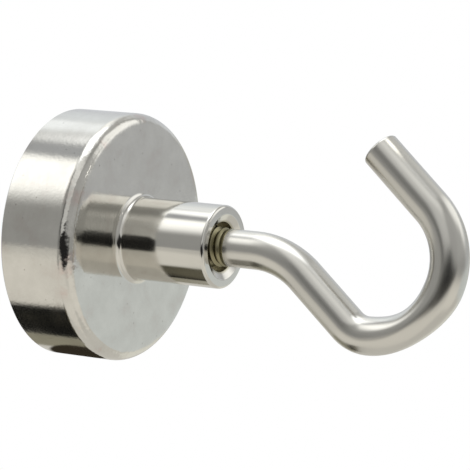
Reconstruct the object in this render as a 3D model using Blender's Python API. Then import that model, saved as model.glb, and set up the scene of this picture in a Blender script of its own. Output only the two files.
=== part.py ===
# A magnetic hook. A steel cup holds a magnet disc in a bed of resin. A threaded bush
# is riveted through the back of the cup, and a bent wire hook screws into the bush.
#
# Everything is made in one turned frame: its Z starts on the magnet's contact face and
# runs out to the hook, its Y points up, and the hook lies in its YZ plane. The parent
# empty turns that frame so that in the world the contact face looks along +Y and +Z is up.

import math

import bmesh
import bpy
from mathutils import Vector

MM = 0.001

# Cup
CUP_DIAMETER = 25.0 * MM
CUP_HEIGHT = 8.2 * MM
CUP_WALL = 1.8 * MM
CUP_BACK = 2.3 * MM
CUP_EDGE_RADIUS = 1.45 * MM
CUP_RIM_CHAMFER = 0.2 * MM

# Magnet and the resin that holds it
RESIN_WIDTH = 0.6 * MM
RESIN_BED = 0.3 * MM
RESIN_SINK = 0.15 * MM
MAGNET_CHAMFER = 0.15 * MM

# Bush
BUSH_DIAMETER = 8.3 * MM
BUSH_LENGTH = 10.0 * MM
BUSH_FOOT_RADIUS = 0.65 * MM
BUSH_EDGE_RADIUS = 0.35 * MM
MOUTH_DIAMETER = 6.5 * MM
MOUTH_CHAMFER = 0.4 * MM
RELIEF_DIAMETER = 5.0 * MM
RELIEF_DEPTH = 1.4 * MM
BUSH_THREAD_END = 9.0 * MM
DRILL_DEPTH = 9.7 * MM
DRILL_POINT_ANGLE = math.radians(118)
SPIGOT_DIAMETER = 5.6 * MM
RIVET_DIAMETER = 7.2 * MM
RIVET_DEPTH = 1.0 * MM

# Screw thread, shared by the hook and the bush
THREAD_DIAMETER = 4.0 * MM
THREAD_PITCH = 0.7 * MM
THREAD_DEPTH_SHARE = 5 / 8 * math.sqrt(3) / 2
CREST_SHARE = 1 / 8
ROOT_SHARE = 1 / 4
THREAD_LEAD_IN = 0.5 * MM
THREAD_RUN_OUT = 0.7 * MM

# Hook
WIRE_DIAMETER = 3.75 * MM
THREAD_PROUD = 0.8 * MM
SHANK_INSERTION = 7.4 * MM
POINT_DIAMETER = 3.0 * MM
POINT_LENGTH = 0.7 * MM
POINT_CHAMFER = 0.25 * MM
NECK_LENGTH = 3.65 * MM
NECK_BEND_RADIUS = 8.75 * MM
NECK_BEND_ANGLE = math.radians(39.75)
LEG_LENGTH = 6.5 * MM
HEEL_RADIUS = 3.5 * MM
HEEL_ANGLE = math.radians(41.2)
BOWL_RADIUS = 8.4 * MM
BOWL_ANGLE = math.radians(55)
CROWN_RADIUS = 6.9 * MM
CROWN_ANGLE = math.radians(82.7)
TIP_LENGTH = 7.8 * MM
TIP_CHAMFER = 0.2 * MM
# The former squeezes the wire where it runs round the bowl of the hook.
SQUEEZE_SHARE = 0.13
SQUEEZE_SPREAD_SHARE = 0.06
SQUEEZE_DIRECTION = math.radians(36.9)
SQUEEZE_REACH = math.radians(34.5)

# Clearances
SEAT_GAP = 0.05 * MM
THREAD_CLEARANCE = 0.1 * MM

# Facets
CUP_SIDES = 48
THREAD_SIDES = 24
EDGE_STEPS = 5
FOOT_STEPS = 3
BEND_STEP = math.radians(8)
MERGE_DISTANCE = 0.001 * MM
SHARP_ANGLE = math.radians(35)

# Sizes and places that follow from the ones above. A place is a height over the contact face.
cup_radius = CUP_DIAMETER / 2
cup_bore_radius = cup_radius - CUP_WALL
cup_floor = CUP_HEIGHT - CUP_BACK
magnet_radius = cup_bore_radius - RESIN_WIDTH
magnet_height = cup_floor - RESIN_BED
spigot_radius = SPIGOT_DIAMETER / 2
rivet_radius = RIVET_DIAMETER / 2
rivet_start = cup_floor + RIVET_DEPTH
bush_radius = BUSH_DIAMETER / 2
bush_foot = CUP_HEIGHT + SEAT_GAP
bush_face = CUP_HEIGHT + BUSH_LENGTH
relief_floor = bush_face - RELIEF_DEPTH
thread_radius = THREAD_DIAMETER / 2
thread_root_radius = thread_radius - THREAD_PITCH * THREAD_DEPTH_SHARE
wire_radius = WIRE_DIAMETER / 2
point_radius = POINT_DIAMETER / 2
thread_end = bush_face + THREAD_PROUD
shank_end = bush_face - SHANK_INSERTION

# Where the corners of one thread lie along a pitch: root, flank, crest, flank.
flank_share = (1 - CREST_SHARE - ROOT_SHARE) / 2
thread_corner_shares = (
    (0, 0),
    (ROOT_SHARE, 0),
    (ROOT_SHARE + flank_share, 1),
    (ROOT_SHARE + flank_share + CREST_SHARE, 1),
)


def clear_scene():
    for thing in list(bpy.data.objects):
        bpy.data.objects.remove(thing, do_unlink=True)


def metal(name, colour, roughness, metallic):
    material = bpy.data.materials.new(name)
    material.use_nodes = True
    shader = material.node_tree.nodes["Principled BSDF"]
    shader.inputs["Base Color"].default_value = (*colour, 1)
    shader.inputs["Roughness"].default_value = roughness
    shader.inputs["Metallic"].default_value = metallic
    material.diffuse_color = (*colour, 1)
    return material


def finished(name, mesh_data, material, parent):
    """Turns a closed bmesh into a named object under its parent."""
    bmesh.ops.recalc_face_normals(mesh_data, faces=mesh_data.faces)
    mesh = bpy.data.meshes.new(name)
    mesh_data.to_mesh(mesh)
    mesh_data.free()
    mesh.shade_smooth()
    mesh.set_sharp_from_angle(angle=SHARP_ANGLE)
    mesh.materials.append(material)
    piece = bpy.data.objects.new(name, mesh)
    bpy.context.collection.objects.link(piece)
    piece.parent = parent
    return piece


def arc(centre, radius, start, end, steps):
    """Points on an arc of a turned outline, both ends included."""
    angles = [start + (end - start) * step / steps for step in range(steps + 1)]
    return [
        (centre[0] + radius * math.cos(angle), centre[1] + radius * math.sin(angle))
        for angle in angles
    ]


def turn(mesh_data, outline, sides, closed=False):
    """Spins an outline of (radius, height) points once round the Z axis."""
    corners = [mesh_data.verts.new((radius, 0, height)) for radius, height in outline]
    edges = [mesh_data.edges.new(pair) for pair in zip(corners, corners[1:])]
    if closed:
        edges.append(mesh_data.edges.new((corners[-1], corners[0])))
    bmesh.ops.spin(
        mesh_data,
        geom=corners + edges,
        cent=(0, 0, 0),
        axis=(0, 0, 1),
        angle=2 * math.pi,
        steps=sides,
        use_merge=True,
    )
    bmesh.ops.remove_doubles(mesh_data, verts=mesh_data.verts, dist=MERGE_DISTANCE)


def turned(name, outline, sides, material, parent, closed=False):
    mesh_data = bmesh.new()
    turn(mesh_data, outline, sides, closed)
    return finished(name, mesh_data, material, parent)


def threaded_wall(mesh_data, low, high, low_radius, high_radius, radius_at):
    """A right-hand screw surface between two plane rings, as wide as radius_at says.

    Each column of points climbs the wall at one angle, in step with the bush's face, so
    that every thread here runs in every other. Points that would pass the lower or the
    upper ring are drawn together into that ring's own corner.
    """
    first_pitch = math.floor((low - bush_face) / THREAD_PITCH) - 1
    last_pitch = math.ceil((high - bush_face) / THREAD_PITCH) + 1
    columns = []
    for side in range(THREAD_SIDES):
        angle = 2 * math.pi * side / THREAD_SIDES
        across = Vector((math.cos(angle), math.sin(angle), 0))
        climb = THREAD_PITCH * side / THREAD_SIDES
        foot = mesh_data.verts.new(across * low_radius + Vector((0, 0, low)))
        head = mesh_data.verts.new(across * high_radius + Vector((0, 0, high)))
        column = []
        for pitch in range(first_pitch, last_pitch):
            for along_share, height_share in thread_corner_shares:
                height = bush_face + climb + THREAD_PITCH * (pitch + along_share)
                if height <= low + MERGE_DISTANCE:
                    column.append(foot)
                elif height >= high - MERGE_DISTANCE:
                    column.append(head)
                else:
                    spot = across * radius_at(height, height_share)
                    column.append(mesh_data.verts.new(spot + Vector((0, 0, height))))
        columns.append(column)
    rise = len(thread_corner_shares)
    for side, column in enumerate(columns):
        after = columns[(side + 1) % THREAD_SIDES]
        if side == THREAD_SIDES - 1:
            after = after[rise:] + [after[-1]] * rise
        for row in range(len(column) - 1):
            loop = [column[row], after[row], after[row + 1], column[row + 1]]
            corners = [spot for place, spot in enumerate(loop) if spot != loop[place - 1]]
            if len(corners) > 2:
                mesh_data.faces.new(corners)
    feet = [column[0] for column in columns]
    heads = [column[-1] for column in columns]
    return feet, heads


def ring(mesh_data, radius, height):
    corners = []
    for side in range(THREAD_SIDES):
        angle = 2 * math.pi * side / THREAD_SIDES
        spot = (radius * math.cos(angle), radius * math.sin(angle), height)
        corners.append(mesh_data.verts.new(spot))
    return corners


def bridge(mesh_data, first, second):
    count = len(first)
    for side in range(count):
        after = (side + 1) % count
        mesh_data.faces.new((first[side], first[after], second[after], second[side]))


def bridge_all(mesh_data, rings):
    for first, second in zip(rings, rings[1:]):
        bridge(mesh_data, first, second)


def cap(mesh_data, corners, tip=None):
    """Closes a ring with one flat face, or with a cone down to a tip point."""
    if tip is None:
        mesh_data.faces.new(corners)
        return
    point = mesh_data.verts.new(tip)
    for side, corner in enumerate(corners):
        mesh_data.faces.new((corner, corners[(side + 1) % len(corners)], point))


def make_cup(material, parent):
    edge_centre = (cup_radius - CUP_EDGE_RADIUS, CUP_HEIGHT - CUP_EDGE_RADIUS)
    outline = [
        (cup_bore_radius, 0),
        (cup_radius - CUP_RIM_CHAMFER, 0),
        (cup_radius, CUP_RIM_CHAMFER),
        *arc(edge_centre, CUP_EDGE_RADIUS, 0, math.pi / 2, EDGE_STEPS),
        (spigot_radius + SEAT_GAP, CUP_HEIGHT),
        (spigot_radius + SEAT_GAP, rivet_start),
        (rivet_radius + SEAT_GAP, cup_floor),
        (cup_bore_radius, cup_floor),
    ]
    turned("cup", outline, CUP_SIDES, material, parent, closed=True)


def make_magnet(material, parent):
    outline = [
        (0, 0),
        (magnet_radius - MAGNET_CHAMFER, 0),
        (magnet_radius, MAGNET_CHAMFER),
        (magnet_radius, magnet_height - MAGNET_CHAMFER),
        (magnet_radius - MAGNET_CHAMFER, magnet_height),
        (0, magnet_height),
    ]
    turned("magnet_disc", outline, CUP_SIDES, material, parent)


def make_resin(material, parent):
    outline = [
        (0, magnet_height + SEAT_GAP),
        (magnet_radius + SEAT_GAP, magnet_height + SEAT_GAP),
        (magnet_radius + SEAT_GAP, RESIN_SINK),
        (cup_bore_radius - SEAT_GAP, RESIN_SINK),
        (cup_bore_radius - SEAT_GAP, cup_floor - SEAT_GAP),
        (0, cup_floor - SEAT_GAP),
    ]
    turned("resin_bed", outline, CUP_SIDES, material, parent)


def bush_thread_radius(height, height_share):
    """The bush's thread wall: cut deepest at the crest of the screw that runs in it."""
    crest = thread_radius + THREAD_CLEARANCE
    root = thread_root_radius + THREAD_CLEARANCE
    bottom = bush_face - BUSH_THREAD_END
    run_in = min(1, (relief_floor - height) / THREAD_LEAD_IN)
    run_out = min(1, (height - bottom) / THREAD_RUN_OUT)
    valley = root + (crest - root) * run_out
    ridge = crest + (root - crest) * run_in
    return ridge + (valley - ridge) * height_share if valley > ridge else root


def make_bush(material, parent):
    mesh_data = bmesh.new()
    bottom = bush_face - BUSH_THREAD_END
    drill_floor = bush_face - DRILL_DEPTH
    drill_radius = thread_root_radius + THREAD_CLEARANCE
    drill_point = drill_radius / math.tan(DRILL_POINT_ANGLE / 2)
    feet, heads = threaded_wall(
        mesh_data,
        bottom,
        relief_floor,
        drill_radius,
        thread_radius + THREAD_CLEARANCE,
        bush_thread_radius,
    )
    drilled = ring(mesh_data, drill_radius, drill_floor)
    bridge(mesh_data, drilled, feet)
    cap(mesh_data, drilled, (0, 0, drill_floor - drill_point))

    edge_centre = (bush_radius - BUSH_EDGE_RADIUS, bush_face - BUSH_EDGE_RADIUS)
    foot_centre = (bush_radius + BUSH_FOOT_RADIUS, bush_foot + BUSH_FOOT_RADIUS)
    outline = [
        (RELIEF_DIAMETER / 2, relief_floor),
        (RELIEF_DIAMETER / 2, bush_face - MOUTH_CHAMFER),
        (MOUTH_DIAMETER / 2, bush_face),
        *arc(edge_centre, BUSH_EDGE_RADIUS, math.pi / 2, 0, FOOT_STEPS),
        *arc(foot_centre, BUSH_FOOT_RADIUS, math.pi, math.pi * 3 / 2, FOOT_STEPS),
        (spigot_radius, bush_foot),
        (spigot_radius, rivet_start + SEAT_GAP),
        (rivet_radius, cup_floor + SEAT_GAP),
    ]
    rings = [ring(mesh_data, radius, height) for radius, height in outline]
    bridge_all(mesh_data, [heads] + rings)
    cap(mesh_data, rings[-1])
    finished("threaded_bush", mesh_data, material, parent)


def hook_thread_radius(height, height_share):
    """The hook's thread: chamfered at the point, running out into the wire at its end."""
    run_out = min(1, (thread_end - height) / THREAD_RUN_OUT)
    root = wire_radius + (thread_root_radius - wire_radius) * run_out
    crest = thread_radius
    chamfer = point_radius + (height - shank_end)
    return min(root + (crest - root) * height_share, chamfer)


def bend_turns():
    """The hook's centre line: straights as lengths, bends as radius and angle."""
    return [
        ("straight", NECK_LENGTH - THREAD_PROUD, 0),
        ("bend", NECK_BEND_RADIUS, -NECK_BEND_ANGLE),
        ("straight", LEG_LENGTH, 0),
        ("bend", HEEL_RADIUS, HEEL_ANGLE),
        ("bend", BOWL_RADIUS, BOWL_ANGLE),
        ("bend", CROWN_RADIUS, CROWN_ANGLE),
        ("straight", TIP_LENGTH - TIP_CHAMFER, 0),
    ]


def centre_line():
    """Stations along the wire from the end of the thread: height, rise and heading."""
    height = thread_end
    rise = 0
    heading = 0
    stations = [(height, rise, heading)]
    for kind, size, angle in bend_turns():
        if kind == "straight":
            height += size * math.cos(heading)
            rise += size * math.sin(heading)
            stations.append((height, rise, heading))
            continue
        side = math.copysign(1, angle)
        centre_height = height - side * size * math.sin(heading)
        centre_rise = rise + side * size * math.cos(heading)
        steps = math.ceil(abs(angle) / BEND_STEP)
        for _ in range(steps):
            heading += angle / steps
            height = centre_height + side * size * math.sin(heading)
            rise = centre_rise - side * size * math.cos(heading)
            stations.append((height, rise, heading))
    return stations


def squeeze_at(heading):
    """How far the former has squeezed the wire here, from 0 to 1."""
    away = (heading - SQUEEZE_DIRECTION) / SQUEEZE_REACH
    return math.cos(away * math.pi / 2) ** 2 if abs(away) < 1 else 0


def wire_ring(mesh_data, station, radius):
    height, rise, heading = station
    squeeze = squeeze_at(heading)
    inward = radius * (1 - SQUEEZE_SHARE * squeeze)
    sideways = radius * (1 + SQUEEZE_SPREAD_SHARE * squeeze)
    centre = Vector((0, rise, height))
    across = Vector((0, math.cos(heading), -math.sin(heading)))
    corners = []
    for side in range(THREAD_SIDES):
        # The wire's rings carry on from the thread's, whose first corner is at +X.
        angle = 2 * math.pi * side / THREAD_SIDES
        offset = across * (inward * math.sin(angle)) + Vector((sideways * math.cos(angle), 0, 0))
        corners.append(mesh_data.verts.new(centre + offset))
    return corners


def make_hook(material, parent):
    mesh_data = bmesh.new()
    feet, heads = threaded_wall(
        mesh_data, shank_end, thread_end, point_radius, wire_radius, hook_thread_radius
    )
    stations = centre_line()
    rings = [wire_ring(mesh_data, station, wire_radius) for station in stations[1:]]
    height, rise, heading = stations[-1]
    tip_height = height + TIP_CHAMFER * math.cos(heading)
    tip_rise = rise + TIP_CHAMFER * math.sin(heading)
    tip_station = (tip_height, tip_rise, heading)
    rings.append(wire_ring(mesh_data, tip_station, wire_radius - TIP_CHAMFER))
    bridge_all(mesh_data, [heads] + rings)
    cap(mesh_data, feet)
    cap(mesh_data, rings[-1])
    finished("wire_hook", mesh_data, material, parent)


def make_shank_point(material, parent):
    """The plain point of the hook's shank, which leads the thread into the bush."""
    top = shank_end - SEAT_GAP
    bottom = shank_end - POINT_LENGTH
    outline = [
        (0, top),
        (point_radius, top),
        (point_radius, bottom + POINT_CHAMFER),
        (point_radius - POINT_CHAMFER, bottom),
        (0, bottom),
    ]
    turned("shank_point", outline, THREAD_SIDES, material, parent)


def main():
    clear_scene()
    frame = bpy.data.objects.new("contact_face", None)
    bpy.context.collection.objects.link(frame)
    frame.rotation_euler = (math.pi / 2, 0, 0)

    cup_steel = metal("nickel plated cup steel", (0.68, 0.67, 0.64), 0.16, 1)
    bush_steel = metal("nickel plated bush steel", (0.70, 0.69, 0.66), 0.12, 1)
    wire_steel = metal("nickel plated wire", (0.66, 0.65, 0.62), 0.20, 1)
    point_steel = metal("nickel plated shank point", (0.60, 0.59, 0.55), 0.30, 1)
    magnet_nickel = metal("nickel plated magnet", (0.72, 0.71, 0.68), 0.22, 1)
    resin = metal("potting resin", (0.05, 0.05, 0.05), 0.45, 0)

    make_cup(cup_steel, frame)
    make_magnet(magnet_nickel, frame)
    make_resin(resin, frame)
    make_bush(bush_steel, frame)
    make_hook(wire_steel, frame)
    make_shank_point(point_steel, frame)


main()
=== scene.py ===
import math

import bmesh
import bpy
from mathutils import Matrix, Vector


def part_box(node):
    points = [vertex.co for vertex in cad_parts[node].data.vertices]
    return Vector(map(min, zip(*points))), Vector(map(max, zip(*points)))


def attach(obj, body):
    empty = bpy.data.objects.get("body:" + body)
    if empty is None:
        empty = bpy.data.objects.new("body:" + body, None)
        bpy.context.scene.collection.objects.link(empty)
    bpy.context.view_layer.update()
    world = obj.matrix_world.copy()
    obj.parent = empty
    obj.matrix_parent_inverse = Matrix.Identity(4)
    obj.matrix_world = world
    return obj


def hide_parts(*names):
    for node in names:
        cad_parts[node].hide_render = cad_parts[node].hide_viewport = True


# A cup magnet with a screw-in wire hook, in bright nickel plate. Its contact face looks
# along +Y, the hook reaches out along -Y, and +Z is up. Sizes in the dictionaries are in
# millimetres, heights are counted out from the contact face, and angles are in degrees.

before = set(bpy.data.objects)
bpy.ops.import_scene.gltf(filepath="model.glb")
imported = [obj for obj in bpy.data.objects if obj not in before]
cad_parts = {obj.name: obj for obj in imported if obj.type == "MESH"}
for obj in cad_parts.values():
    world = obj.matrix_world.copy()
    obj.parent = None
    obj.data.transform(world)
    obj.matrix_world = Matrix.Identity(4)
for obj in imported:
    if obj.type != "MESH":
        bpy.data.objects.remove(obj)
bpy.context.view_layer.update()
mm = 0.001


# Camera, at the photograph's place, which is given in metres

camera = {
    "place": (-0.213180, -0.144612, 0.012405),
    "forward": (0.861111, 0.506434, -0.044866),
    "up": (0.0, 0.088246, 0.996099),
    "lens": 192.96, "sensor": 36, "clip": (0.01, 10),
}


def makeCamera():
    data = bpy.data.cameras.new("camera")
    data.sensor_width = camera["sensor"]
    data.lens = camera["lens"]
    data.clip_start, data.clip_end = camera["clip"]
    forward = Vector(camera["forward"]).normalized()
    up = Vector(camera["up"]).normalized()
    turn = Matrix((forward.cross(up), up, -forward)).transposed()
    eye = bpy.data.objects.new("camera", data)
    eye.matrix_world = Matrix.Translation(camera["place"]) @ turn.to_4x4()
    bpy.context.scene.collection.objects.link(eye)
    bpy.context.scene.camera = eye


makeCamera()
bpy.context.scene.view_settings.view_transform = "Standard"
print("camera set")


# Small tools

meshing = {
    "longest": 0.45, "ease": 0.04,          # from which length a straight is eased, and how near its ends
    "weld": 0.002, "seamWeld": 0.001, "sharpAngle": 32,
}


def linear(hexColour):
    # an sRGB hex colour as the linear one that sockets hold
    parts = [int(hexColour[place:place + 2], 16) / 255 for place in (1, 3, 5)]
    return [p / 12.92 if p <= 0.04045 else ((p + 0.055) / 1.055) ** 2.4 for p in parts] + [1]


def addNode(tree, kind, inputs=None, **settings):
    # an input is given as a value, as a socket, as a node whose first output feeds it, or as
    # a sum such as ("MULTIPLY", node, 2.0), which becomes a node of its own
    node = tree.nodes.new(kind)
    for name, value in settings.items():
        setattr(node, name, value)
    for key, value in (inputs or {}).items():
        if isinstance(value, tuple) and isinstance(value[0], str):
            value = addNode(tree, "ShaderNodeMath", dict(enumerate(value[1:])), operation=value[0])
        if isinstance(value, bpy.types.Node):
            value = next(socket for socket in value.outputs if socket.enabled)
        if isinstance(value, bpy.types.NodeSocket):
            tree.links.new(value, node.inputs[key])
        else:
            node.inputs[key].default_value = value
    return node


def newMaterial(name):
    # a material, its tree and the place of each point, in metres
    material = bpy.data.materials.new(name)
    material.use_nodes = True
    tree = material.node_tree
    tree.nodes.clear()
    return material, tree, addNode(tree, "ShaderNodeTexCoord").outputs["Object"]


def finishLook(tree, inputs, layers=()):
    # ends a tree with its shader; each layer of bumps is a height and how deep it is in
    # millimetres, laid on the one before
    for height, depth in layers:
        below = {"Normal": inputs["Normal"]} if "Normal" in inputs else {}
        inputs["Normal"] = addNode(tree, "ShaderNodeBump", {
            "Height": height, "Distance": depth * mm, "Strength": 1.0, **below})
    shader = addNode(tree, "ShaderNodeBsdfPrincipled", inputs)
    addNode(tree, "ShaderNodeOutputMaterial", {"Surface": shader})


def newGroup(name, kind, inputs, output):
    # a node group whose inputs are listed by their kind, with one output
    tree = bpy.data.node_groups.new(name, kind)
    for socketKind, socketNames in inputs.items():
        for socketName in socketNames:
            tree.interface.new_socket(
                socketName, in_out="INPUT", socket_type="NodeSocket" + socketKind)
    tree.interface.new_socket(output[0], in_out="OUTPUT", socket_type="NodeSocket" + output[1])
    return tree, addNode(tree, "NodeGroupInput").outputs


def arc(centre, radius, start, end, steps):
    # (radius, height) points along part of a circle
    angles = [math.radians(start + (end - start) * step / steps) for step in range(steps + 1)]
    return [(centre[0] + radius * math.cos(a), centre[1] + radius * math.sin(a)) for a in angles]


def eased(outline, closed=False):
    # a point close to each end of a long straight, so that smooth shading keeps it straight
    points = []
    ends = outline[1:] + outline[:1] if closed else outline[1:]
    for here, there in zip(outline, ends):
        points.append(here)
        length = math.dist(here, there)
        if length > meshing["longest"]:
            for share in (meshing["ease"] / length, 1 - meshing["ease"] / length):
                points.append(tuple(a + (b - a) * share for a, b in zip(here, there)))
    return points if closed else points + [outline[-1]]


def spin(shape, outline, sides, closed=False):
    # turns (radius, height) points once round the axis of the cup
    corners = [shape.verts.new((radius * mm, -height * mm, 0)) for radius, height in outline]
    edges = [shape.edges.new(pair) for pair in zip(corners, corners[1:])]
    if closed:
        edges.append(shape.edges.new((corners[-1], corners[0])))
    bmesh.ops.spin(shape, geom=corners + edges, cent=(0, 0, 0), axis=(0, -1, 0),
                   angle=2 * math.pi, steps=sides, use_merge=True)
    bmesh.ops.remove_doubles(shape, verts=shape.verts, dist=meshing["weld"] * mm)


def toObject(name, shape, material):
    # turns a bmesh into an object of the scene
    mesh = bpy.data.meshes.new(name)
    shape.to_mesh(mesh)
    shape.free()
    mesh.materials.append(material)
    thing = bpy.data.objects.new(name, mesh)
    bpy.context.scene.collection.objects.link(thing)
    return thing


def finished(name, shape, material, body, node):
    # closes a bmesh into a piece that stands for one CAD node
    bmesh.ops.recalc_face_normals(shape, faces=shape.faces)
    piece = toObject(name, shape, material)
    piece.data.shade_smooth()
    piece.data.set_sharp_from_angle(angle=math.radians(meshing["sharpAngle"]))
    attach(piece, body)
    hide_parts(node)
    print(name, len(piece.data.polygons), "faces")


def meshFromTree(name, tree, values):
    # runs a Geometry Nodes tree with these inputs and keeps its result as a plain mesh
    carrier = bpy.data.objects.new(name, bpy.data.meshes.new(name))
    bpy.context.scene.collection.objects.link(carrier)
    modifier = carrier.modifiers.new("shape", "NODES")
    modifier.node_group = tree
    for socket in tree.interface.items_tree:
        if socket.item_type == "SOCKET" and socket.name in values:
            modifier[socket.identifier] = values[socket.name]
    evaluated = carrier.evaluated_get(bpy.context.evaluated_depsgraph_get())
    mesh = bpy.data.meshes.new_from_object(evaluated)
    carrier.modifiers.remove(modifier)
    bpy.data.objects.remove(carrier)
    return mesh


# Sizes that pieces share, read from the CAD where it carries them

cupLow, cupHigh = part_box("cup")
cupRadius = cupHigh.x / mm
cupHeight = -cupLow.y / mm
bushFace = -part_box("threaded_bush")[0].y / mm

thread = {
    "radius": 2.0,           # M4 coarse
    "pitch": 0.7,
    "depth": 0.379,          # 5/8 of the height of the sharp 60 degree form
    "rootShare": 0.25,       # of a pitch
    "flankShare": 0.3125,
    "clearance": 0.1,
    "columns": 96,
    "rowsPerPitch": 16,
    "rowNudge": 0.0001,      # of a pitch, which keeps a row on a corner on one side of it
}
threadRoot = thread["radius"] - thread["depth"]


# Bright nickel plate. Nickel is a slightly warm white metal, and a bright bath levels what
# lies under it, so each plated piece mirrors the room and still shows how it was made.
# Lines finer than about 0.1 mm wouldn't show, so the lines below are about that coarse.

nickel = {"colour": "#D5D3CD", "film": "#D3C3BD", "speck": "#77706A"}
noiseSpan = (0.3, 0.7)     # the noise of a texture seldom leaves it


def axisParts(tree, place):
    # distance from the axis of cup and bush, place along it and angle round it
    x, y, z = addNode(tree, "ShaderNodeSeparateXYZ", {0: place}).outputs
    squares = ("ADD", ("MULTIPLY", x, x), ("MULTIPLY", z, z))
    radius = addNode(tree, "ShaderNodeMath", {0: squares, 1: 0.5}, operation="POWER")
    return radius, y, addNode(tree, "ShaderNodeMath", {0: z, 1: x}, operation="ARCTAN2")


# Pressed cup: sheet steel drawn into a cup and barrel plated. The plate keeps a faint
# orange peel, draw lines up the wall and a wavy highlight where the punch bent the edge.

pressedLook = {
    "roughness": (0.09, 0.13), "roughSpan": (0.3, 0.75),
    "peelSize": 0.30, "peelHeight": 0.0045,
    "ripple": 3.4, "rippleHeight": 0.004,
    "drawLineWidth": 0.16, "drawLineLength": 2.5, "drawLineHeight": 0.0004, "wallBand": 0.3,
    "edgeWaveSize": 1.2, "edgeWaveHeight": 0.055, "edgeBand": (1.7, 0.8),
    "cleanColour": "#DBD9D3", "dullColour": "#CFCDC7",
    "filmSize": 2.6, "filmSpan": (0.55, 0.72), "filmOffEdge": 0.2,
    "speckSize": 1.3, "speckSpan": (0.09, 0.04), "speckShare": 0.35,
}


def pressedNickel():
    look = pressedLook
    material, tree, place = newMaterial("nickelPlatedPressedSteel")
    radius, along, angle = axisParts(tree, place)

    # orange peel and a slower ripple, all over
    peel = addNode(tree, "ShaderNodeTexNoise", {
        "Vector": place, "Scale": 1 / (look["peelSize"] * mm), "Detail": 2.0, "Roughness": 0.45})
    ripple = addNode(tree, "ShaderNodeTexNoise", {
        "Vector": place, "Scale": 1 / (look["ripple"] * mm), "Detail": 1.0, "Roughness": 0.4})

    # draw lines run along the wall, so their noise is fine round the cup and long along it
    drawn = addNode(tree, "ShaderNodeCombineXYZ", {
        0: ("MULTIPLY", angle, cupRadius / look["drawLineWidth"]),
        1: ("MULTIPLY", along, 1 / (look["drawLineLength"] * mm))})
    lines = addNode(tree, "ShaderNodeTexNoise", {"Vector": drawn, "Scale": 1.0, "Detail": 2.0})
    wall = addNode(tree, "ShaderNodeMapRange", {
        "Value": radius, "From Min": (cupRadius - look["wallBand"]) * mm, "From Max": cupRadius * mm})

    # the bent edge: waves only where both the radius and the height are near the edge
    waves = addNode(tree, "ShaderNodeTexNoise", {
        "Vector": place, "Scale": 1 / (look["edgeWaveSize"] * mm), "Detail": 2.5, "Roughness": 0.5})
    inner, outer = look["edgeBand"]
    nearRim = addNode(tree, "ShaderNodeMapRange", {
        "Value": radius, "From Min": (cupRadius - inner) * mm, "From Max": (cupRadius - outer) * mm,
    }, interpolation_type="SMOOTHSTEP")
    nearFace = addNode(tree, "ShaderNodeMapRange", {
        "Value": along, "From Min": -(cupHeight - inner) * mm, "From Max": -(cupHeight - outer) * mm,
    }, interpolation_type="SMOOTHSTEP")
    edge = addNode(tree, "ShaderNodeMath", {0: nearRim, 1: nearFace}, operation="MULTIPLY")

    # faint cloudy tones, a warm film in patches and a few dark specks, as handling leaves
    film = addNode(tree, "ShaderNodeTexNoise", {
        "Vector": place, "Scale": 1 / (look["filmSize"] * mm), "Detail": 4.0, "Roughness": 0.6})
    dullShare = addNode(tree, "ShaderNodeMapRange", {
        "Value": film, "From Min": noiseSpan[0], "From Max": noiseSpan[1]})
    plate = addNode(tree, "ShaderNodeMix", {
        "Factor": dullShare, 6: linear(look["cleanColour"]), 7: linear(look["dullColour"]),
    }, data_type="RGBA")
    filmPatch = addNode(tree, "ShaderNodeMapRange", {
        "Value": film, "From Min": look["filmSpan"][0], "From Max": look["filmSpan"][1]})
    filmMost = addNode(tree, "ShaderNodeMapRange", {
        "Value": edge, "To Min": look["filmOffEdge"], "To Max": 1.0})
    filmed = addNode(tree, "ShaderNodeMix", {
        "Factor": ("MULTIPLY", filmPatch, filmMost), 6: plate.outputs[2],
        7: linear(nickel["film"])}, data_type="RGBA")
    cells = addNode(tree, "ShaderNodeTexVoronoi", {
        "Vector": place, "Scale": 1 / (look["speckSize"] * mm)})
    speckShare = addNode(tree, "ShaderNodeMapRange", {
        "Value": cells.outputs["Distance"], "From Min": look["speckSpan"][0],
        "From Max": look["speckSpan"][1], "To Max": look["speckShare"]})
    specked = addNode(tree, "ShaderNodeMix", {
        "Factor": speckShare, 6: filmed.outputs[2], 7: linear(nickel["speck"])}, data_type="RGBA")
    roughness = addNode(tree, "ShaderNodeMapRange", {
        "Value": film, "From Min": look["roughSpan"][0], "From Max": look["roughSpan"][1],
        "To Min": look["roughness"][0], "To Max": look["roughness"][1]})
    finishLook(tree, {"Metallic": 1.0, "Base Color": specked.outputs[2], "Roughness": roughness}, (
        (peel, look["peelHeight"]), (ripple, look["rippleHeight"]),
        (("MULTIPLY", lines, wall), look["drawLineHeight"]),
        (("MULTIPLY", waves, edge), look["edgeWaveHeight"])))
    return material


# Turned bush: bar steel off a lathe, plated. Fine tool lines run round it.

turnedLook = {
    "roughness": (0.07, 0.13),
    "feed": 0.11, "feedHeight": 0.00012,
    "ripple": 2.2, "rippleHeight": 0.001,
    # the bore's darker, browner colour is painted shade
    "boreShadeColour": "#9E987F", "boreRoughness": 0.34, "boreSpan": (2.75, 2.45),
}


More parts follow.
